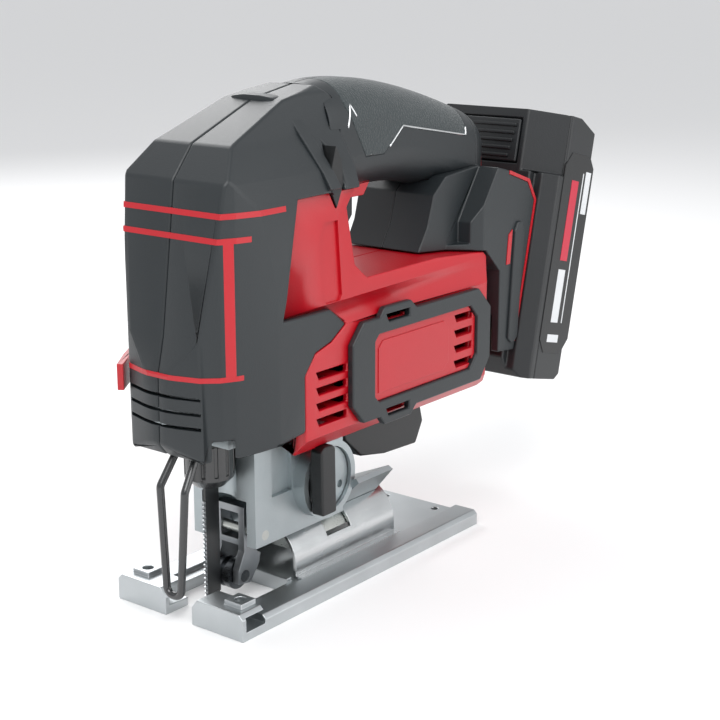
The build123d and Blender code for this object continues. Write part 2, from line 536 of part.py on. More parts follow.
def joined(shapes):
    """Several shapes as one."""
    result = shapes[0]
    for shape in shapes[1:]:
        result = result + shape
    return result


def one_screw(x, z, head_y):
    """A self-tapping screw put in from the right side, its head sunk below the skin."""
    return cyl("y", 6 - head_y, head_y, x, z, SCREW_R) + cyl("y", head_y, head_y + SCREW_HEAD_T, x, z, SCREW_HEAD_R)


def with_bosses(shell, outer, name):
    """Add the screws' bosses inside a shell, then bore them and open the right side."""
    head_y, places = SCREWS[name]
    for x, z in places:
        boss = cyl("y", -head_y - 2, head_y + SCREW_HEAD_T, x, z, BOSS_R) & outer
        shell = cut(shell + boss, one_screw(x, z, head_y), cyl("y", head_y, FAR, x, z, SCREW_HEAD_R))
    return shell


def vents(x0, x1, z_values, height=3.0):
    """Cooling slots with a slanted front end, through the whole width."""
    return joined([side([(x0 + 1.5, z), (x1, z), (x1, z + height), (x0, z + height)], -FAR, FAR) for z in z_values])


NOSE = (NOSE_SIDE, NOSE_PLAN, NOSE_FRONT)
HOUSING = (HOUSING_SIDE, HOUSING_PLAN, HOUSING_FRONT)
FOOT = (FOOT_SIDE, FOOT_PLAN, FOOT_FRONT)
SIDE_VENTS = vents(25, 43, [71, 77, 83, 89])
BADGE_VENTS = vents(112, 125, [75.5, 82, 88.5, 95])
HOOD_VENTS = vents(64, 79, [104.5, 66.5])


# ================================================================ nose and motor housing
def chamber_room():
    """The room that the cast gear chamber takes inside the shells."""
    return chamber_form(GAP) & block(4, FAR, -FAR, FAR, 60, FAR)


def nose_lines():
    """Where the coloured lines lie in the nose's skin: three across and one down each side."""
    strips = [block(-40, 12, -40, 40, 153.6, 155.4), block(-40, -5, -40, 40, 145.0, 146.8),
              block(-40, -9, -40, 40, 96.0, 97.6)]
    strips += [block(-40, -5, *sorted((s * 25.6, s * 24)), 96, 146.8) for s in (-1, 1)]
    return joined(strips)


def save_nose():
    outer = form(*NOSE)
    under = block(-19, 30, -25, 25, 50, CASE_Z0 + 5)
    shell = cut(outer, form(*NOSE, WALL), under, chamber_room(), side(button_outline(GAP), -FAR, FAR))
    lines = cut(outer, form(*NOSE, TRIM_DEPTH)) & nose_lines() & shell
    save("nose_trim", lines, len(solids(lines)))
    save_halves("nose_cover", shell - lines)


def motor_mounts():
    """Two cross walls that hold the motor's bearings."""
    def wall(x0, x1):
        return block(x0, x1, -30, 30, 64, 116)

    walls = wall(FRONT_BEARING_X - 1, FRONT_BEARING_X + BEARING_LENGTH)
    walls += wall(REAR_BEARING_X, REAR_BEARING_X + BEARING_LENGTH + 1)
    return cut(walls & form(*HOUSING, WALL), cyl("x", 0, FAR, 0, MOTOR_Z, BEARING_R))


def save_housing():
    outer = form(*HOUSING)
    rod_way = block(0, CASE_X1, -18, 18, 59, 62)
    wire_ways = [block(38, 57, -18, 18, 150, 170), block(112, 142, -12, 12, 116, 124)]
    shell = cut(outer, form(*HOUSING, WALL), chamber_room(), rod_way, *wire_ways, side(button_outline(GAP), -FAR, FAR))
    shell = with_bosses(shell + motor_mounts(), outer, "housing")
    save_halves("housing", cut(shell, SIDE_VENTS, BADGE_VENTS, HOOD_VENTS))


def save_side_panels():
    """The frame on each flank of the motor, and the badge plate inside it."""
    for s, name in ((-1, "left"), (1, "right")):
        y0, y1 = sorted((s * BARREL_HALF, s * (BARREL_HALF + FRAME_T)))
        frame = cut(side(frame_outline(), y0, y1), side(frame_window(), y0, y1), SIDE_VENTS, HOOD_VENTS)
        save("side_frame_" + name, frame)
        y0, y1 = sorted((s * BARREL_HALF, s * (BARREL_HALF + BADGE_T)))
        save("badge_" + name, side(frame_window(), y0, y1) - BADGE_VENTS)


# ================================================================ handle and foot
def grip_skin():
    """The over-moulded layer on the top and sides of the handle."""
    zone = side([(60, 200), (60, 186), (72, 166), (84, 166), (96, 176), (142, 168), (146, 200)], -40, 40)
    return (handle_form() - handle_form(GRIP_T)) & zone


def save_handle():
    outer, nose, housing = handle_form(), form(*NOSE), form(*HOUSING)
    lobe_room = block(TRIGGER_X0 - GAP, TRIGGER_X1 + GAP, -TRIGGER_HALF - GAP, TRIGGER_HALF + GAP, 130, 166)
    bezel = block(58, 84, -11, 11, 149.5, 155) & side([(57, 156), (60, 149.5), (80, 149.5), (85, 156)], -20, 20)
    handle = cut(with_bosses(outer - handle_form(WALL + 2), outer, "handle"), lobe_room, bezel, nose, housing,
                 side(button_outline(GAP), -FAR, FAR))
    save_halves("grip", grip_skin() - nose)
    save_halves("handle", handle - grip_skin())
    save("trigger_bezel", cut(bezel, lobe_room, nose, housing))


def foot_shoulders(inset=0.0):
    """What is taken off the foot's upper front corners, where it narrows to the handle."""
    outline, half = [(100, 124), (133, 124), (133, 133), (149, 156), (100, 170)], 20 - inset
    outline = inset_points(outline, -inset) if inset else outline
    return side(outline, -40, -half) + side(outline, half, 40)


def foot_rim(foot):
    """The coloured edge of the foot: the part of its shell outside a slightly smaller outline."""
    low, high = tilted(60, 100), tilted(60, BATTERY_W0 + LIP_OVER - 1.5)
    outline = [low, high, tilted(174.4, BATTERY_W0 + LIP_OVER - 1.5), tilted(181.6, BATTERY_W0 - 5), tilted(183, 119),
               (140, 153)]
    rim = foot & tilted_block(112, 190, 118, BATTERY_W0 + 10, -40, 40)
    return solids(rim - form(outline, FOOT_PLAN, FOOT_FRONT))[0]


def save_foot():
    outer = form(*FOOT) - foot_shoulders() + head_form()
    inner = form(*FOOT, WALL) - foot_shoulders(WALL) + head_form(WALL)
    foot = with_bosses(cut(outer, inner, handle_form(), form(*HOUSING)), outer, "foot")
    foot = cut(foot, handle_form(), form(*HOUSING))
    rear_wall = tilted_block(106, 180, 124, 126.5, -28, 28) & inner
    foot = cut(foot + rear_wall, foot_cavity(), block(122, 140, -12, 12, 112, 158))
    save("foot_trim", foot_rim(foot))
    save_halves("foot", foot - foot_rim(foot))


# ================================================================ battery
def battery_form(inset=0.0):
    """The battery's outside: its side outline and, across it, its plan outline."""
    u1, w1 = BATTERY_U0 + BATTERY_LENGTH, BATTERY_W0 + BATTERY_T
    side_outline = [tilted(u1, BATTERY_W0), tilted(u1, w1 - 22), tilted(u1 - 8, w1), tilted(BATTERY_U0 + 10, w1),
                    tilted(BATTERY_U0, w1 - 12), tilted(BATTERY_U0, BATTERY_W0 + 7), tilted(BATTERY_U0 + 8, BATTERY_W0)]
    lip_w, lip_half = BATTERY_W0 + LIP_OVER + GAP, LIP_HALF - GAP
    across = mirror_points([(BATTERY_W0, lip_half), (lip_w, lip_half), (lip_w, 31), (BATTERY_W0 + 10, BATTERY_HALF),
                            (w1 - 9, BATTERY_HALF), (w1, 29)])
    faces = [Polygon(*(inset_points(o, inset) if inset else o), align=None) for o in (across, side_outline)]
    return prism(lean_plane(0), faces[0], FAR) & prism(side_plane(FAR), faces[1], 2 * FAR)


def battery_corners(u, inset=0.0):
    """The two wedges cut off the battery's upper front corners."""
    outline = [(BATTERY_W0 - 1, 21), (BATTERY_W0 + 16, BATTERY_HALF + 1), (BATTERY_W0 - 1, BATTERY_HALF + 1)]
    outline = [(w + inset, y - inset) for w, y in outline]
    mirrored = [(w, -y) for w, y in outline]
    return joined([prism(lean_plane(u), Polygon(*o, align=None), FAR) for o in (outline, mirrored)])


def terminal_w(k):
    """How far across the battery each of the four contact blades stands."""
    return -12 + 7 * k


def save_battery_case():
    split, floor_w = BATTERY_W0 + 14, BATTERY_W0 + 8
    latch_room = tilted_block(LATCH_U0 - GAP, LATCH_U1 + GAP, BATTERY_W0 - 5, floor_w, -LATCH_HALF - GAP, LATCH_HALF + GAP)
    shell = cut(battery_form(), battery_form(2.2) - battery_corners(184.5, 2.4), battery_corners(187))
    tower = tilted_block(122, 180, 128.5, BATTERY_W0, -18, 18)
    slots = joined([tilted_block(121, 138, 131, 134, terminal_w(k) - 0.2, terminal_w(k) + 1.6) for k in range(4)])
    front_half = tilted_block(60, 260, 100, split, -60, 60)
    floor = tilted_block(LATCH_U0 - 2, LATCH_U1 + 2, floor_w, floor_w + 1.5, -LATCH_HALF - 2, LATCH_HALF + 2)
    save("battery_case_front", cut((shell & front_half) + tower + (floor & battery_form(1)), latch_room, slots))
    save("battery_case_back", shell - front_half)


def save_battery():
    save_battery_case()
    cells = []
    for k in range(CELL_COUNT):
        x, z = tilted(BATTERY_U0 + CELL_INSET / 2 + 0.5 + k * (BATTERY_LENGTH - CELL_INSET) / (CELL_COUNT - 1), BATTERY_W0 + 26.5)
        cells.append(cyl("y", -CELL_LENGTH / 2, CELL_LENGTH / 2, x, z, CELL_R))
    save("battery_cells", joined(cells), CELL_COUNT)
    latch = tilted_block(LATCH_U0, LATCH_U1, BATTERY_W0 - 0.6, BATTERY_W0 + 4, -LATCH_HALF, LATCH_HALF)
    save("battery_latch", latch)
    contacts = [tilted_block(115, 134, 131.8, 132.8, terminal_w(k) + 0.2, terminal_w(k) + 1.2) for k in range(4)]
    save("terminal_block", joined([tilted_block(107, 116, 131.0, 138.4, -16, 16)] + contacts))


# ================================================================ the pieces, group by group
def save_shoe_group():
    save("shoe", make_shoe())
    save("saddle", make_saddle())
    save("tilt_clamp_block", make_clamp_block())
    save("tilt_clamp_bolt", clamp_bolt())


def save_casting_group():
    save("gear_housing", make_gear_housing())
    save("gear_cover", make_gear_cover())
    save("wire_guard", make_wire_guard())
    save("fork_pivot_pin", cyl("y", -PILLAR_HALF, PILLAR_HALF, FORK_PIN_X, FORK_PIN_Z, FORK_PIN_R))
    for name, z in (("plunger_bush_lower", LOWER_BUSH_Z), ("plunger_bush_upper", UPPER_BUSH_Z)):
        save(name, tube("z", z, z + BUSH_LENGTH, 0, 0, BUSH_R, ROD_R + RUN))
    save("crank_axle", cyl("x", GEAR_X0 - 1.5, CASE_X1, 0, CRANK_Z, AXLE_R))


def save_drive_group():
    save("crank_gear", make_crank())
    save("crank_roller", tube("x", YOKE_X0, YOKE_X1 + 1, 0, CRANK_Z + CRANK_R, PIN_R, PIN_R - 1))
    shaft_end = REAR_BEARING_X + BEARING_LENGTH
    pinion = gear(GEAR_X0, GEAR_WIDTH, MOTOR_Z, PINION_TEETH, 1.0, 0)
    save("motor_shaft", pinion + cyl("x", GEAR_X0, shaft_end, 0, MOTOR_Z, SHAFT_R))
    rotor_x1 = STATOR_X0 + STATOR_LENGTH + 2
    save("rotor", tube("x", STATOR_X0 - 2, rotor_x1, 0, MOTOR_Z, STATOR_BORE - 0.8, SHAFT_R))
    save("cooling_fan", make_fan())
    save("stator", make_stator())
    save("motor_bearings", bearing(FRONT_BEARING_X) + bearing(REAR_BEARING_X), 2)


def save_plunger_group():
    save("plunger_rod", cyl("z", ROD_Z0, ROD_TOP, 0, 0, ROD_R))
    save("plunger_yoke", make_yoke())
    save("clamp_core", make_clamp_core())
    save("clamp_collar", make_collar())
    save("blade", make_blade())


def save_orbit_group():
    save("orbit_fork", make_fork())
    save("guide_roller", make_roller())
    save("roller_pin", cyl("y", -FORK_HALF, FORK_HALF, ROLLER_X, ROLLER_Z, ROLLER_PIN_R))
    save("orbit_lever", make_lever())
    save("selector_disc", make_selector_disc())


def save_controls():
    lobe = [(TRIGGER_X0, 141), (TRIGGER_X0 + 6, TRIGGER_Z0), (TRIGGER_X1 - 5, TRIGGER_Z0), (TRIGGER_X1, 141.5),
            (TRIGGER_X1, TRIGGER_Z1), (TRIGGER_X0, TRIGGER_Z1)]
    save("trigger", side(lobe, -TRIGGER_HALF, TRIGGER_HALF))
    save("switch_body", block(58, 88, -9, 9, 166.5, 182))
    heads = both_sides(lambda s: side(button_outline(), *sorted((s * 18.0, s * BUTTON_OUT))))
    save("lock_button", heads + cyl("y", -18, 18, 44, 162, 3))
    save("control_board", block(119, 121.5, -20, 20, 72, 108))
    save("work_light", block(-17.5, -14.5, -6, 6, 66.5, 68.8) + block(-17, -15, -4, 4, 68.8, 71))
    screws = [one_screw(x, z, head_y) for head_y, places in SCREWS.values() for x, z in places]
    save("housing_screws", joined(screws), len(screws))


def save_duct():
    outside = [(60, 60), (62, 53), (72, 44), (88, 41), (110, 40), (115, 49), (112, 60)]
    inside = [(64, 61), (65, 55), (74, 47), (89, 44), (106, 43), (110, 50), (108, 61)]
    save("blower_duct", side(outside, -16, 16) - side(inside, -13.5, 13.5))


def save_release():
    """The lever that turns the clamp's collar, on its pin at the right front of the nose."""
    outline = [(-22.8, 20.0), (-11.0, 28.3), (-4.5, 31.9), (-3.0, 34.2), (-4.5, 36.2), (-12.5, 30.9), (-24.2, 22.0)]
    save("release_lever", plan(outline, 87, 97) - cyl("z", 80, 110, RELEASE_X, RELEASE_Y, RELEASE_PIN_R + RUN))
    save("release_pin", cyl("z", 84, 100, RELEASE_X, RELEASE_Y, RELEASE_PIN_R))


for save_group in (save_shoe_group, save_casting_group, save_drive_group, save_plunger_group, save_orbit_group,
                   save_nose, save_housing, save_side_panels, save_handle, save_foot, save_controls, save_duct,
                   save_battery, save_release):
    save_group()
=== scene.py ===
# %% [markdown]
# # A cordless top-handle jigsaw
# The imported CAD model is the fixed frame: it brings every working piece at its
# real size, already placed. This file gives those pieces their finishes, swaps the
# sharp-edged shells for moulded ones with soft edges, and adds the small things a
# maker would fit last: ribs, pads, trim and labels.
# Everything is in metres, with +X towards the battery, +Y to the tool's right and
# +Z up; the origin is where the blade line meets the sole of the shoe.

# %% Load the frame
import json
import math

import bmesh
import bpy
from mathutils import Matrix, Vector


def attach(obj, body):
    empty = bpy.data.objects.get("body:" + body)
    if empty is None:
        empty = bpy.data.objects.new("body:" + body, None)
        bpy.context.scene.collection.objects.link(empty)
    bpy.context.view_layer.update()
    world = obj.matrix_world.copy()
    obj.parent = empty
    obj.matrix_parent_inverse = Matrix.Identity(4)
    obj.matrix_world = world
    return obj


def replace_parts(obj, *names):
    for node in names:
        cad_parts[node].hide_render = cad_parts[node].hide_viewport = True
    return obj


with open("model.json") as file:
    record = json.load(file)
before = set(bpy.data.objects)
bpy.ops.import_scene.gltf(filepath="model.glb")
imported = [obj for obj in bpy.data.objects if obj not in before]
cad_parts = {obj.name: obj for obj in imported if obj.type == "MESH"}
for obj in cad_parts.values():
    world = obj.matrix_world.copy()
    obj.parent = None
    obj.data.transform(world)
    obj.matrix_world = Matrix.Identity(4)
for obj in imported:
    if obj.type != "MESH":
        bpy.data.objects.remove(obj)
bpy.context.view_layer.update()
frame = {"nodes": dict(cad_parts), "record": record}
nodes = frame["nodes"]
bodies = frame["record"]["behaviour"]["bodies"]
body_of_node = {node: body for body, group in bodies.items() for node in group}
slot_of_node = {part["node"]: part["material_slot"] for part in frame["record"]["subparts"]}

# %% [markdown]
# ## Colours and nodes
# A maker notes a colour as an sRGB hex value, and Blender's shaders work in linear
# light, so one function turns the first into the second. Another adds a node with
# its settings and links in one line, so each material below reads as a short recipe.

# %% Two small helpers for materials
def linear(hex_code):
    """An sRGB hex colour as linear RGBA."""
    channels = [int(hex_code[i:i + 2], 16) / 255 for i in (1, 3, 5)]
    return tuple(c / 12.92 if c <= 0.04045 else ((c + 0.055) / 1.055) ** 2.4 for c in channels) + (1.0,)


def add_node(tree, kind, inputs=None, **settings):
    """Add a node; an input that is itself a socket is linked, any other value is set."""
    node = tree.nodes.new(kind)
    for name, value in settings.items():
        setattr(node, name, value)
    for name, value in (inputs or {}).items():
        if isinstance(value, bpy.types.NodeSocket):
            tree.links.new(value, node.inputs[name])
        else:
            node.inputs[name].default_value = value
    return node


print("red plastic in linear light:", [round(c, 3) for c in linear("#B80018")])

# %% [markdown]
# ## Moulded plastic
# The shells are glass-filled nylon (IOR 1.53). Their steel moulds are spark-eroded,
# which leaves a fine pebbled grain of about 0.3 mm: it breaks up the highlights and
# keeps finger marks off. The colour drifts very slightly over a few centimetres,
# where the melt flowed. The same recipe with another colour and grain gives the
# glossier red shells, the black controls and the softer over-moulded rubber.

# %% The recipe for every moulded finish
def moulded(name, colour, shade, roughness, grain_mm, grain_height_mm, ior=1.53, coat=0.0):
    material = bpy.data.materials.new(name)
    material.use_nodes = True
    tree = material.node_tree
    shader = tree.nodes["Principled BSDF"]
    place = add_node(tree, "ShaderNodeTexCoord").outputs["Object"]
    flow = add_node(tree, "ShaderNodeTexNoise", {"Vector": place, "Scale": 1 / 0.035, "Detail": 3.0})
    tint = add_node(tree, "ShaderNodeMix", {0: flow.outputs["Fac"], 6: linear(shade), 7: linear(colour)},
                    data_type="RGBA")
    tree.links.new(tint.outputs[2], shader.inputs["Base Color"])
    grain = add_node(tree, "ShaderNodeTexNoise",
                     {"Vector": place, "Scale": 1000 / grain_mm, "Detail": 2.0, "Roughness": 0.6})
    gloss = add_node(tree, "ShaderNodeMapRange",
                     {"Value": grain.outputs["Fac"], "To Min": roughness - 0.05, "To Max": roughness + 0.07})
    tree.links.new(gloss.outputs["Result"], shader.inputs["Roughness"])
    bump = add_node(tree, "ShaderNodeBump",
                    {"Height": grain.outputs["Fac"], "Distance": grain_height_mm / 1000, "Strength": 1.0})
    tree.links.new(bump.outputs["Normal"], shader.inputs["Normal"])
    shader.inputs["IOR"].default_value = ior
    shader.inputs["Coat Weight"].default_value = coat
    shader.inputs["Coat Roughness"].default_value = 0.25
    return material


finishes = {
    "charcoal_plastic": moulded("charcoal_nylon", "#1E2427", "#181D20", 0.42, 0.55, 0.05),
    "red_plastic": moulded("red_nylon", "#B80018", "#A40012", 0.34, 0.7, 0.03, coat=0.15),
    "black_plastic": moulded("black_nylon", "#111315", "#0D0F10", 0.40, 0.6, 0.04),
    "battery_plastic": moulded("battery_abs", "#171A1D", "#121517", 0.40, 0.6, 0.05, ior=1.54),
    "cell_wrap": moulded("cell_sleeve_pvc", "#2F7C92", "#256C82", 0.30, 2.0, 0.02, ior=1.54),
}
print("moulded finishes:", ", ".join(finishes))

# %% [markdown]
# ## Soft grip
# The grip is thermoplastic rubber moulded over the handle. Rubber scatters light at
# its surface, so it looks paler and flatter than the nylon beside it, and its mould
# carries a coarser leathery texture: small cells about 1.3 mm across with sunken
# borders, which Voronoi's distance to the edge draws well.

# %% Over-moulded rubber
def soft_grip(name, colour, shade, cell_mm, depth_mm):
    material = moulded(name, colour, shade, 0.62, 0.5, 0.02, ior=1.51)
    tree = material.node_tree
    shader = tree.nodes["Principled BSDF"]
    place = add_node(tree, "ShaderNodeTexCoord").outputs["Object"]
    cells = add_node(tree, "ShaderNodeTexVoronoi", {"Vector": place, "Scale": 1000 / cell_mm},
                     feature="DISTANCE_TO_EDGE")
    height = add_node(tree, "ShaderNodeMapRange", {"Value": cells.outputs["Distance"], "From Max": 0.22})
    fine = shader.inputs["Normal"].links[0].from_socket
    bump = add_node(tree, "ShaderNodeBump",
                    {"Height": height.outputs["Result"], "Distance": depth_mm / 1000, "Normal": fine})
    tree.links.new(bump.outputs["Normal"], shader.inputs["Normal"])
    shader.inputs["Sheen Weight"].default_value = 0.25
    shader.inputs["Sheen Roughness"].default_value = 0.4
    return material


finishes["grip_rubber"] = soft_grip("grip_rubber", "#2E3739", "#262E30", 1.3, 0.12)
print("grip cells are 1.3 mm across")

# %% [markdown]
# ## Metals
# Die-cast aluminium keeps a faint mottled skin from the die, and is a little rough.
# Zinc-plated and ground steel show fine marks along one direction, so their noise is
# stretched along the grinding direction. Metals keep the default IOR; their colour is
# the reflection itself.

# %% The recipe for every metal
def metal(name, colour, shade, roughness, mark_mm, height_mm, stretch=(1, 1, 1), spread=0.08):
    material = bpy.data.materials.new(name)
    material.use_nodes = True
    tree = material.node_tree
    shader = tree.nodes["Principled BSDF"]
    place = add_node(tree, "ShaderNodeTexCoord").outputs["Object"]
    along = add_node(tree, "ShaderNodeMapping", {"Vector": place, "Scale": stretch}).outputs["Vector"]
    marks = add_node(tree, "ShaderNodeTexNoise",
                     {"Vector": along, "Scale": 1000 / mark_mm, "Detail": 4.0, "Roughness": 0.65})
    mottle = add_node(tree, "ShaderNodeTexNoise", {"Vector": place, "Scale": 1 / 0.012, "Detail": 3.0})
    tint = add_node(tree, "ShaderNodeMix", {0: mottle.outputs["Fac"], 6: linear(shade), 7: linear(colour)},
                    data_type="RGBA")
    tree.links.new(tint.outputs[2], shader.inputs["Base Color"])
    both = add_node(tree, "ShaderNodeMath", {0: marks.outputs["Fac"], 1: mottle.outputs["Fac"]},
                    operation="ADD")
    gloss = add_node(tree, "ShaderNodeMapRange", {"Value": both.outputs[0], "From Min": 0.5, "From Max": 1.5,
                                                  "To Min": roughness - spread, "To Max": roughness + spread})
    tree.links.new(gloss.outputs["Result"], shader.inputs["Roughness"])
    bump = add_node(tree, "ShaderNodeBump", {"Height": marks.outputs["Fac"], "Distance": height_mm / 1000})
    tree.links.new(bump.outputs["Normal"], shader.inputs["Normal"])
    shader.inputs["Metallic"].default_value = 1.0
    return material


finishes.update({
    "cast_shoe": metal("shoe_cast_aluminium", "#C3C7C9", "#B0B5B7", 0.36, 0.6, 0.03),
    "cast_housing": metal("housing_cast_aluminium", "#B2B9BB", "#9DA5A8", 0.40, 0.8, 0.05),
    "saddle_steel": metal("saddle_bright_steel", "#D4D6D7", "#C4C7C8", 0.24, 0.5, 0.015,
                          stretch=(0.05, 1, 1)),
    "fork_steel": metal("fork_machined_steel", "#9A9DA0", "#85888B", 0.34, 0.4, 0.02, stretch=(1, 1, 0.1)),
    "roller_steel": metal("roller_hardened_steel", "#6B6E71", "#54575A", 0.28, 0.4, 0.015,
                          stretch=(1, 0.1, 1)),
    "zinc_steel": metal("zinc_plated_steel", "#C2C4C0", "#ADB0AC", 0.28, 0.4, 0.01),
    "magnet_steel": metal("laminated_rotor_steel", "#7D7F82", "#6A6C6F", 0.40, 0.5, 0.05,
                          stretch=(1, 0.02, 0.02)),
    "winding_copper": metal("enamelled_copper", "#B4572C", "#8E3F1E", 0.30, 0.6, 0.08, stretch=(0.05, 1, 1)),
    "bronze": metal("sintered_bronze", "#A67C45", "#8E6836", 0.42, 0.3, 0.02),
    "terminal_brass": metal("tinned_brass", "#C9A95B", "#B79647", 0.26, 0.5, 0.01),
})
print("metal finishes added,", len(finishes), "so far")

# %% [markdown]
# ## Painted steel, blade, board and lens
# The wire guard and the clamp collar are black oxide steel: dark, but with a metal's
# sharp highlight, so they are a dark dielectric with a low roughness. The blade is
# painted black and its teeth are ground bright, so its colour changes with the place
# across it: X runs from the teeth to the back. The circuit board is green solder mask,
# and the light's lens is clear acrylic over a pale reflector.

# %% The remaining finishes
def blade_finish(name, bright_until_mm):
    material = moulded(name, "#1B1D1F", "#141617", 0.30, 0.5, 0.01, ior=1.6)
    tree = material.node_tree
    shader = tree.nodes["Principled BSDF"]
    place = add_node(tree, "ShaderNodeTexCoord").outputs["Object"]
    across = add_node(tree, "ShaderNodeSeparateXYZ", {"Vector": place})
    steel = add_node(tree, "ShaderNodeMath", {0: across.outputs["X"], 1: bright_until_mm / 1000},
                     operation="LESS_THAN")
    paint = shader.inputs["Base Color"].links[0].from_socket
    colour = add_node(tree, "ShaderNodeMix", {0: steel.outputs[0], 6: paint, 7: linear("#A9ACAE")},
                      data_type="RGBA")
    tree.links.new(colour.outputs[2], shader.inputs["Base Color"])
    tree.links.new(steel.outputs[0], shader.inputs["Metallic"])
    return material


finishes["blade_steel"] = blade_finish("painted_blade_steel", -3.1)
finishes["black_steel"] = moulded("black_oxide_steel", "#17191B", "#101214", 0.24, 0.4, 0.01,
                                  ior=1.7, coat=0.3)
finishes["board_green"] = moulded("solder_mask", "#175C34", "#0F4A28", 0.28, 1.0, 0.01, ior=1.55, coat=0.4)
finishes["light_lens"] = moulded("clear_acrylic_lens", "#E4EAEE", "#D4DCE2", 0.12, 1.5, 0.01,
                                 ior=1.49, coat=0.5)
print(len(finishes), "finishes for", len(set(slot_of_node.values())), "slots")

# %% [markdown]
# ## Finish every CAD piece
# Each working piece keeps its CAD shape and takes the finish that its slot names.

# %% Put the finishes on
def paint(obj, finish):
    obj.data.materials.clear()
    obj.data.materials.append(finishes[finish] if isinstance(finish, str) else finish)


for node, obj in nodes.items():
    paint(obj, slot_of_node[node])
print("painted", len(nodes), "pieces")


# %% [markdown]
# ## Moulded shells
# An injection-moulded shell has no knife edges: the mould's corners are rounded by
# about a millimetre, and those rounds catch the light as thin bright lines. The CAD
# shells have sharp corners, so each is copied, its triangles are joined back into flat
# faces, and a Bevel modifier rounds every corner sharper than the limit. Weighted
# normals keep the flat faces looking flat next to the rounds. Where two halves meet,
# both edges are rounded, and the real parting line appears by itself. Grooves are cut
# last with a Boolean, so that their edges stay crisp.

# %% Helpers for pieces made from meshes
def new_piece(name, vertices, faces):
    """A closed mesh object from points in millimetres."""
    mesh = bpy.data.meshes.new(name)
    mesh.from_pydata([Vector(v) / 1000 for v in vertices], [], faces)
    bm = bmesh.new()
    bm.from_mesh(mesh)
    bmesh.ops.remove_doubles(bm, verts=bm.verts, dist=1e-6)
    bmesh.ops.recalc_face_normals(bm, faces=bm.faces)
    bm.to_mesh(mesh)
    bm.free()
    obj = bpy.data.objects.new(name, mesh)
    bpy.context.scene.collection.objects.link(obj)
    return obj


def bake(obj):
    """Turn an object's modifiers into its plain mesh."""
    evaluated = obj.evaluated_get(bpy.context.evaluated_depsgraph_get())
    mesh = bpy.data.meshes.new_from_object(evaluated)
    obj.modifiers.clear()
    obj.data = mesh
    return obj


def flatten(obj, degrees=0.6):
    """Join loose triangles and merge the ones that lie in one flat face."""
    bm = bmesh.new()
    bm.from_mesh(obj.data)
    bmesh.ops.remove_doubles(bm, verts=bm.verts, dist=2e-6)
    bmesh.ops.dissolve_limit(bm, angle_limit=math.radians(degrees), verts=bm.verts, edges=bm.edges)
    bm.to_mesh(obj.data)
    bm.free()


def soften(obj, width_mm, limit=20, segments=3):
    """Round every corner sharper than the limit, keeping flat faces flat."""
    bevel = obj.modifiers.new("rounds", "BEVEL")
    bevel.width, bevel.segments = width_mm / 1000, segments
    bevel.limit_method, bevel.angle_limit = "ANGLE", math.radians(limit)
    bevel.use_clamp_overlap = False
    bake(obj)
    obj.data.shade_smooth()
    obj.data.set_sharp_from_angle(angle=math.radians(40))
    obj.modifiers.new("flat_faces", "WEIGHTED_NORMAL").keep_sharp = True
    return bake(obj)


def settle(obj, body, slot):
    """Let a piece ride on a body and take the slot's finish."""
    paint(obj, slot)
    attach(obj, body)
    return obj


def combine(obj, operation, *others):
    """Join, cut or intersect an object with others, exactly."""
    for other in others:
        modifier = obj.modifiers.new(operation.lower(), "BOOLEAN")
        modifier.operation, modifier.solver, modifier.object = operation, "EXACT", other
    return bake(obj)


def moulded_shell(node, width_mm, grooves=(), filled_with=None, kept_in=None, **options):
    """A rounded copy that stands for a CAD shell; grooves are cut last, and stay crisp."""
    obj = bpy.data.objects.new(node + "_moulded", nodes[node].data.copy())
    bpy.context.scene.collection.objects.link(obj)
    if filled_with:
        flatten(obj)
        combine(obj, "UNION", filled_with)
        combine(obj, "INTERSECT", kept_in)
    flatten(obj)
    soften(obj, width_mm, **options)
    if grooves:
        combine(obj, "DIFFERENCE", *grooves)
    settle(obj, body_of_node[node], slot_of_node[node])
    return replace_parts(obj, node)


print("mesh helpers ready")

# %% [markdown]
# ## Grooves in the nose
# Three shallow grooves run across the lower nose under the coloured line, and the
# moulder's feature lines step around the upper hood. A groove follows the nose's plan
# outline, so its cutter is a strip with that outline: a little inside the skin on one
# side and well outside on the other.

# %% Strips that follow an outline
def prism_piece(name, outline, low, high):
    """A closed outline at two ends, joined into a solid; low and high place a point at each end."""
    count = len(outline)
    vertices = [low(p) for p in outline] + [high(p) for p in outline]
    sides = [(i, (i + 1) % count, count + (i + 1) % count, count + i) for i in range(count)]
    ends = [tuple(range(count - 1, -1, -1)), tuple(range(count, 2 * count))]
    return new_piece(name, vertices, sides + ends)


def plan_strip(name, path, inside, outside, z0, z1):
    """A strip that follows a plan path (x, y) from one end to the other, between two offsets."""
    def offset(amount):
        moved = []
        for i, point in enumerate(path):
            before, after = path[max(i - 1, 0)], path[min(i + 1, len(path) - 1)]
            along = (Vector(after) - Vector(before)).normalized()
            moved.append((point[0] - along.y * amount, point[1] + along.x * amount))
        return moved

    outline = offset(-inside) + offset(outside)[::-1]
    return prism_piece(name, outline, lambda p: (p[0], p[1], z0), lambda p: (p[0], p[1], z1))


GROOVE_DEPTH, GROOVE_WIDTH = 0.9, 1.3
nose_front = [(-21.6, 17.5), (-24.5, 8.0), (-25.4, 3.0), (-25.4, -3.0), (-24.5, -8.0), (-21.6, -17.5)]
nose_grooves = [plan_strip(f"groove_{k}", nose_front, GROOVE_DEPTH, 4.0, z, z + GROOVE_WIDTH)
                for k, z in enumerate((78.0, 83.5, 89.0))]
print(len(nose_grooves), "grooves for the nose")

# %% A shallow recess in each flank of the red pillar
def flank(z):
    """Half width of the pillar, which leans inwards as it rises."""
    return 29.0 - (z - 115.0) * 3.0 / 42.5


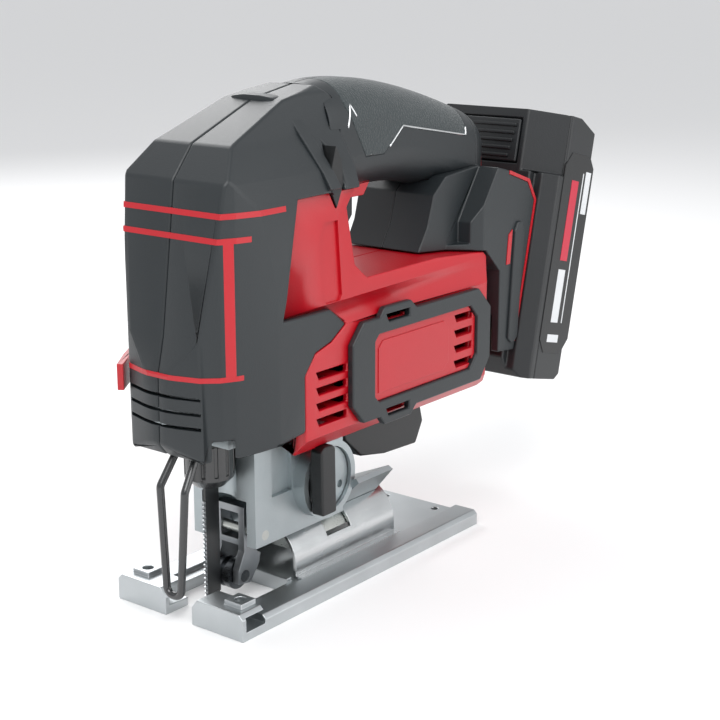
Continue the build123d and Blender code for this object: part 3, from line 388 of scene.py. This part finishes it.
recess_outline = [(32.5, 118), (34.5, 116), (42.5, 116), (44.0, 118), (44.0, 146), (36.0, 146), (32.5, 139)]
RECESS_DEPTH = 1.0
pillar_recess = {side: prism_piece("recess_" + side, recess_outline,
                                   lambda p: (p[0], s * (flank(p[1]) - RECESS_DEPTH), p[1]),
                                   lambda p: (p[0], s * 40.0, p[1]))
                 for side, s in (("left", -1), ("right", 1))}
print("pillar recess is", RECESS_DEPTH, "mm deep")

# %% The nose, the motor housing and their panels
trim = bpy.data.objects.new("nose_lines", nodes["nose_trim"].data.copy())
bpy.context.scene.collection.objects.link(trim)
flatten(trim)
halves = {side: prism_piece("half_" + side, [(-60, 0), (90, 0), (90, 60 * s), (-60, 60 * s)],
                            lambda p: (p[0], p[1], 0), lambda p: (p[0], p[1], 250))
          for side, s in (("left", -1), ("right", 1))}
for side in ("left", "right"):
    moulded_shell("nose_cover_" + side, 1.1, nose_grooves, filled_with=trim, kept_in=halves[side])
    moulded_shell("housing_" + side, 0.6, [pillar_recess[side]])
    moulded_shell("side_frame_" + side, 0.7)
    moulded_shell("badge_" + side, 0.4)
LINES_STAND_PROUD = 0.0002
for vertex in trim.data.vertices:
    vertex.co += vertex.normal * LINES_STAND_PROUD
settle(trim, "body", "red_plastic")
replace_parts(trim, "nose_trim")
for helper in nose_grooves + list(halves.values()) + list(pillar_recess.values()):
    bpy.data.objects.remove(helper)
print("nose, housing and side panels are rounded")

# %% The handle, the foot and the battery
for side in ("left", "right"):
    moulded_shell("handle_" + side, 0.35)
    moulded_shell("grip_" + side, 0.5)
    moulded_shell("foot_" + side, 0.6)
for node, width in (("battery_case_front", 0.8), ("battery_case_back", 0.7), ("battery_latch", 0.8),
                    ("trigger", 1.6), ("lock_button", 0.3), ("trigger_bezel", 0.5),
                    ("release_lever", 0.3), ("blower_duct", 0.9), ("orbit_lever", 0.9)):
    moulded_shell(node, width)
print("handle, foot, battery and controls are rounded")

# %% The metal castings
for node, width in (("shoe", 0.35), ("saddle", 0.25), ("clamp_collar", 0.25), ("orbit_fork", 0.2)):
    moulded_shell(node, width, segments=2)
print("castings are rounded")

# %% [markdown]
# ## Small mouldings on the shells
# Ribs, finger pads, grooves and trim strips are what make a moulded tool look made.
# Most are simple prisms with rounded edges, so one helper makes a prism from an
# outline drawn on a plane: an origin, two directions in the plane, and a normal to
# push along. Each is sunk a little into its shell, so that no gap shows under it.

# %% A prism on any plane
TILT = math.radians(13.2)
ALONG = Vector((math.sin(TILT), 0, math.cos(TILT)))      # up along the battery
ACROSS = Vector((math.cos(TILT), 0, -math.sin(TILT)))    # from the foot into the battery


def pad(name, outline, origin, right, up, depth, height, body, slot, rounding=0.4):
    """A raised shape: its outline lies in the plane, sunk by depth and standing proud by height."""
    origin, right, up = Vector(origin), Vector(right).normalized(), Vector(up).normalized()
    normal = right.cross(up)
    place = lambda p, lift: origin + right * p[0] + up * p[1] + normal * lift
    obj = prism_piece(name, outline, lambda p: place(p, -depth), lambda p: place(p, height))
    soften(obj, rounding, segments=2)
    return settle(obj, body, slot)


def bar(x0, x1, y0, y1):
    return [(x0, y0), (x1, y0), (x1, y1), (x0, y1)]


print("battery leans", round(math.degrees(TILT), 1), "degrees")

# %% [markdown]
# ## Ribs on the latch, by Geometry Nodes
# The thumb presses the latch on a field of parallel ribs. A row of ribs follows one
# rule, so a Geometry Nodes tree makes it: a line of points, one rib on each, with the
# number of ribs and their pitch, length, width and height as
# named inputs. The tree ends in Realize Instances and Set Material, and the result is
# turned into a plain mesh before it rides on its body.

# %% A row of ribs as a node tree
def rib_tree():
    tree = bpy.data.node_groups.new("rib_row", "GeometryNodeTree")
    sockets = {}
    for name, kind in (("Count", "NodeSocketInt"), ("Pitch", "NodeSocketFloat"),
                       ("Length", "NodeSocketFloat"), ("Width", "NodeSocketFloat"),
                       ("Height", "NodeSocketFloat"), ("Finish", "NodeSocketMaterial")):
        sockets[name] = tree.interface.new_socket(name, in_out="INPUT", socket_type=kind).identifier
    tree.interface.new_socket("Geometry", in_out="OUTPUT", socket_type="NodeSocketGeometry")
    given = add_node(tree, "NodeGroupInput").outputs
    step = add_node(tree, "ShaderNodeCombineXYZ", {"Y": given["Pitch"]})
    row = add_node(tree, "GeometryNodeMeshLine", {"Count": given["Count"], "Offset": step.outputs[0]})
    size = add_node(tree, "ShaderNodeCombineXYZ",
                    {"X": given["Length"], "Y": given["Width"], "Z": given["Height"]})
    rib = add_node(tree, "GeometryNodeMeshCube",
                   {"Size": size.outputs[0], "Vertices X": 2, "Vertices Y": 2, "Vertices Z": 2})
    ribs = add_node(tree, "GeometryNodeInstanceOnPoints",
                    {"Points": row.outputs["Mesh"], "Instance": rib.outputs["Mesh"]})
    real = add_node(tree, "GeometryNodeRealizeInstances", {"Geometry": ribs.outputs["Instances"]})
    painted = add_node(tree, "GeometryNodeSetMaterial",
                       {"Geometry": real.outputs["Geometry"], "Material": given["Finish"]})
    add_node(tree, "NodeGroupOutput", {"Geometry": painted.outputs["Geometry"]})
    return tree, sockets


RIBS, RIB_INPUTS = rib_tree()


def rib_row(name, count, pitch, length, width, height, origin, right, up, body, slot, taper=0.0):
    """Ribs along `right`, stacked along `up` from the origin; taper shortens each by that much more."""
    mesh = bpy.data.meshes.new(name)
    obj = bpy.data.objects.new(name, mesh)
    bpy.context.scene.collection.objects.link(obj)
    nodes_modifier = obj.modifiers.new("ribs", "NODES")
    nodes_modifier.node_group = RIBS
    for label, value in (("Count", count), ("Pitch", pitch / 1000), ("Length", length / 1000),
                         ("Width", width / 1000), ("Height", height / 1000), ("Finish", finishes[slot])):
        nodes_modifier[RIB_INPUTS[label]] = value
    bake(obj)
    right, up = Vector(right).normalized(), Vector(up).normalized()
    frame_matrix = Matrix((right, up, right.cross(up))).transposed().to_4x4()
    for vertex in obj.data.vertices:
        row = round(vertex.co.y / (pitch / 1000))
        vertex.co.x *= 1 - taper * row
    obj.data.transform(Matrix.Translation(Vector(origin) / 1000) @ frame_matrix)
    soften(obj, min(width, height) * 0.28, segments=2)
    return settle(obj, body, slot)


battery_face = 138.9
latch_at = ALONG * 192.6 + ACROSS * (battery_face - 0.6)
rib_row("latch_ribs", count=5, pitch=3.4, length=30.0, width=1.6, height=1.8, origin=latch_at,
        right=(0, -1, 0), up=ALONG, body="latch", slot="battery_plastic", taper=-0.04)
print("latch ribs made by", RIBS.name)

# %% [markdown]
# ## Bands, trim lines and panels
# The hood of the nose ends in a raised arch where it meets the handle. The arch is a
# ribbon with a rectangular section: its path runs up one flank, over the crest and
# down the other, and it leans back as it goes down. The bright trim lines on the
# handle are thin foil strips. They are round wires laid on the handle's own section,
# which is worked out at each point, so that they lie on the surface all along.

# %% Ribbons and wires
def ribbon(name, path, half_width, inside, outside, slot):
    """A band round the X axis: each path point is (x, y, z), and outwards is away from (x, 0, 150)."""
    rings = []
    for x, y, z in path:
        out = Vector((0, y, z - 150)).normalized()
        centre = Vector((x, y, z))
        along = Vector((half_width, 0, 0))
        rings += [centre - along - out * inside, centre + along - out * inside,
                  centre + along + out * outside, centre - along + out * outside]
    faces = [(0, 1, 2, 3), tuple(len(rings) - 4 + k for k in (3, 2, 1, 0))]
    for i in range(len(path) - 1):
        faces += [(4 * i + k, 4 * i + (k + 1) % 4, 4 * i + 4 + (k + 1) % 4, 4 * i + 4 + k) for k in range(4)]
    obj = new_piece(name, rings, faces)
    soften(obj, 0.6, segments=2)
    return settle(obj, "body", slot)


def wire(name, points, radius, body, slot):
    """A thin closed wire through points in millimetres."""
    curve = bpy.data.curves.new(name, "CURVE")
    curve.dimensions, curve.use_fill_caps = "3D", True
    curve.bevel_depth, curve.bevel_resolution = radius / 1000, 2
    spline = curve.splines.new("POLY")
    spline.points.add(len(points) - 1)
    for slot_point, point in zip(spline.points, points):
        slot_point.co = (*[v / 1000 for v in point], 1.0)
    source = bpy.data.objects.new(name + "_path", curve)
    bpy.context.scene.collection.objects.link(source)
    mesh = bpy.data.meshes.new_from_object(source.evaluated_get(bpy.context.evaluated_depsgraph_get()))
    bpy.data.objects.remove(source)
    obj = bpy.data.objects.new(name, mesh)
    bpy.context.scene.collection.objects.link(obj)
    flatten(obj, 0.0)
    obj.data.shade_smooth()
    return settle(obj, body, slot)


HANDLE = [(50, 175.0, 19.5, 18.5), (75, 174.0, 21.6, 18.5), (100, 172.3, 19.9, 18.0),
          (125, 167.0, 19.2, 17.5), (150, 160.0, 18.4, 17.0)]   # x, centre z, half height, half width


def handle_half_width(x, z):
    """Half the handle's width at a height, from its rounded section at that x."""
    for a, b in zip(HANDLE, HANDLE[1:]):
        if a[0] <= x <= b[0]:
            t = (x - a[0]) / (b[0] - a[0])
            _, centre, height, width = (p + (q - p) * t for p, q in zip(a, b))
    corner = min(height, width) - 2.5
    rise = max(abs(z - centre) - (height - corner), 0.0)
    return width - corner + math.sqrt(max(corner ** 2 - rise ** 2, 0.0))


def on_handle(points, side, lift=0.15, steps=12):
    """Points (x, z) spaced along a line and placed on the handle's flank."""
    placed = []
    for a, b in zip(points, points[1:]):
        for k in range(steps + (b == points[-1])):
            x, z = (p + (q - p) * k / steps for p, q in zip(a, b))
            placed.append((x, side * (handle_half_width(x, z) + lift), z))
    return placed


finishes["bright_foil"] = metal("bright_trim_foil", "#D9DBDC", "#C9CBCC", 0.22, 0.5, 0.005)
FOIL_RADIUS = 0.45
rear_line = [(87, 168.6), (96, 176), (141.5, 168.3), (142.5, 171.5)]
front_line = [(60.5, 178), (63.5, 186.5), (66, 182)]
for side, s in (("left", -1), ("right", 1)):
    for label, line in (("rear", rear_line), ("front", front_line)):
        foil = wire(f"grip_line_{label}_{side}", on_handle(line, s), FOIL_RADIUS, "body", "zinc_steel")
        paint(foil, "bright_foil")
print("four trim lines on the handle")

# %% The arch at the back of the hood
half_arch = [(40.0, 29.2, 158.0), (38.6, 26.6, 164.0), (36.2, 22.2, 172.0), (33.8, 17.6, 180.5),
             (31.6, 13.6, 187.5), (30.4, 9.5, 190.4), (30.0, 4.0, 191.1)]
arch = [(x, -y, z) for x, y, z in half_arch] + half_arch[::-1]
ribbon("hood_arch", arch, 3.2, 2.5, 0.8, "charcoal_plastic")
print("hood arch has", len(arch), "stations")

# %% [markdown]
# ## Panels on the battery and the foot
# The battery's flank carries a chamfered label panel. The real one is printed with
# words, which are left out: plain bars stand for them. The foot has one long rounded
# rib on each flank, with a red insert in front of it.

# %% Label, bars, ribs and inserts
finishes["label_white"] = moulded("printed_label_white", "#D6D8DA", "#CBCDCF", 0.35, 0.8, 0.005)
finishes["label_red"] = moulded("printed_label_red", "#C21838", "#B21230", 0.35, 0.8, 0.005)
BATTERY_FLANK, FOOT_FLANK, BADGE_FLANK = 36.5, 30.0, 33.5
panel = [(152.5, 114), (157, 108), (172, 108), (177.5, 115), (177.5, 193), (173, 198), (157, 198),
         (152.5, 192)]
label_bars = (("capacity", bar(171.0, 175.5, 172, 191), "label_white"),
              ("rule", bar(168.6, 169.3, 122, 190), "label_white"),
              ("wide", bar(159.5, 165.5, 122, 146), "label_white"),
              ("long", bar(159.5, 165.5, 150, 186), "label_red"),
              ("foot", bar(158.5, 168.0, 113, 116.5), "label_white"))
foot_rib = [(157.5, 79), (160, 76.5), (162.5, 76.5), (165, 79), (168.5, 126), (166, 130), (163.5, 130),
            (161, 126)]
foot_insert = [(155.5, 112), (158.5, 112), (160.0, 127), (157.0, 125)]
badge_plate = [(60, 76.5), (104, 76.5), (107.5, 80), (107.5, 94), (104, 97.5), (63, 97.5), (60, 94.5)]
for side, s in (("left", -1), ("right", 1)):
    right, place = ACROSS * -s, (0, s * BATTERY_FLANK, 0)
    turned = lambda outline: [(-s * w, u) for w, u in outline]
    pad("label_panel_" + side, turned(panel), place, right, ALONG, 0.8, 0.35, "battery", "black_plastic", 0.3)
    for label, outline, slot in label_bars:
        pad(f"label_{label}_{side}", turned(outline), place, right, ALONG, 0.2, 0.5,
            "battery", "battery_plastic", 0.1)
        paint(bpy.data.objects[f"label_{label}_{side}"], slot)
    flank_right = (-s, 0, 0)
    on_flank = lambda outline: [(-s * x, z) for x, z in outline]
    pad("foot_rib_" + side, on_flank(foot_rib), (0, s * FOOT_FLANK, 0), flank_right, (0, 0, 1),
        1.0, 1.2, "body", "charcoal_plastic", 0.7)
    pad("foot_insert_" + side, on_flank(foot_insert), (0, s * FOOT_FLANK, 0), flank_right, (0, 0, 1),
        0.8, 0.35, "body", "red_plastic", 0.2)
    pad("badge_plate_" + side, on_flank(badge_plate), (0, s * BADGE_FLANK, 0), flank_right, (0, 0, 1),
        0.6, 0.5, "body", "red_plastic", 0.4)
print("battery labels, foot ribs and badge plates are on")

# %% [markdown]
# ## Camera, floor and light
# The camera stands to the front left and a little above, with a 75 mm lens, which
# keeps the tool's lines nearly parallel as a catalogue picture does. Three large soft
# boxes and a pale world give broad highlights along the moulded edges without hard
# shadows, and the floor is a plain pale sheet.

# %% Set up the studio
def aimed(obj, place, azimuth, elevation):
    """Stand an object at a place, looking along a direction given in degrees."""
    a, e = math.radians(azimuth), math.radians(elevation)
    back = Vector((math.sin(a) * math.cos(e), -math.cos(a) * math.cos(e), math.sin(e)))
    obj.matrix_world = Matrix.Translation(place) @ back.to_track_quat("Z", "Y").to_matrix().to_4x4()


def soft_box(name, place, target, size, watts):
    lamp = bpy.data.lights.new(name, "AREA")
    lamp.shape, lamp.size, lamp.energy = "SQUARE", size, watts
    obj = bpy.data.objects.new(name, lamp)
    bpy.context.scene.collection.objects.link(obj)
    turn = (Vector(place) - Vector(target)).to_track_quat("Z", "Y").to_matrix().to_4x4()
    obj.matrix_world = Matrix.Translation(place) @ turn


camera = bpy.data.objects.new("camera", bpy.data.cameras.new("camera"))
bpy.context.scene.collection.objects.link(camera)
camera.data.lens, camera.data.sensor_width = 75.0, 36.0
aimed(camera, (-0.38486, -0.37360, 0.23877), -51.9, 14.88)
bpy.context.scene.camera = camera
bpy.context.scene.view_settings.view_transform = "Standard"

middle = (0.07, 0.0, 0.1)
soft_box("key_box", (-0.55, -0.35, 0.85), middle, 0.7, 7.0)
soft_box("fill_box", (0.35, -0.95, 0.45), middle, 0.9, 4.0)
soft_box("rim_box", (0.45, 0.75, 0.75), middle, 0.7, 6.0)

world = bpy.data.worlds.new("pale_room")
world.use_nodes = True
world.node_tree.nodes["Background"].inputs["Color"].default_value = linear("#F4F5F7")
world.node_tree.nodes["Background"].inputs["Strength"].default_value = 0.8
bpy.context.scene.world = world

floor_mesh = bpy.data.meshes.new("floor")
floor_mesh.from_pydata([(-20, -20, 0), (20, -20, 0), (20, 20, 0), (-20, 20, 0)], [], [(0, 1, 2, 3)])
floor = bpy.data.objects.new("floor", floor_mesh)
bpy.context.scene.collection.objects.link(floor)
floor_paper = bpy.data.materials.new("pale_paper")
floor_paper.use_nodes = True
floor_paper.node_tree.nodes["Principled BSDF"].inputs["Base Color"].default_value = linear("#F2F2F2")
floor_paper.node_tree.nodes["Principled BSDF"].inputs["Roughness"].default_value = 0.7
floor.data.materials.append(floor_paper)
print("camera, floor and three soft boxes are set")
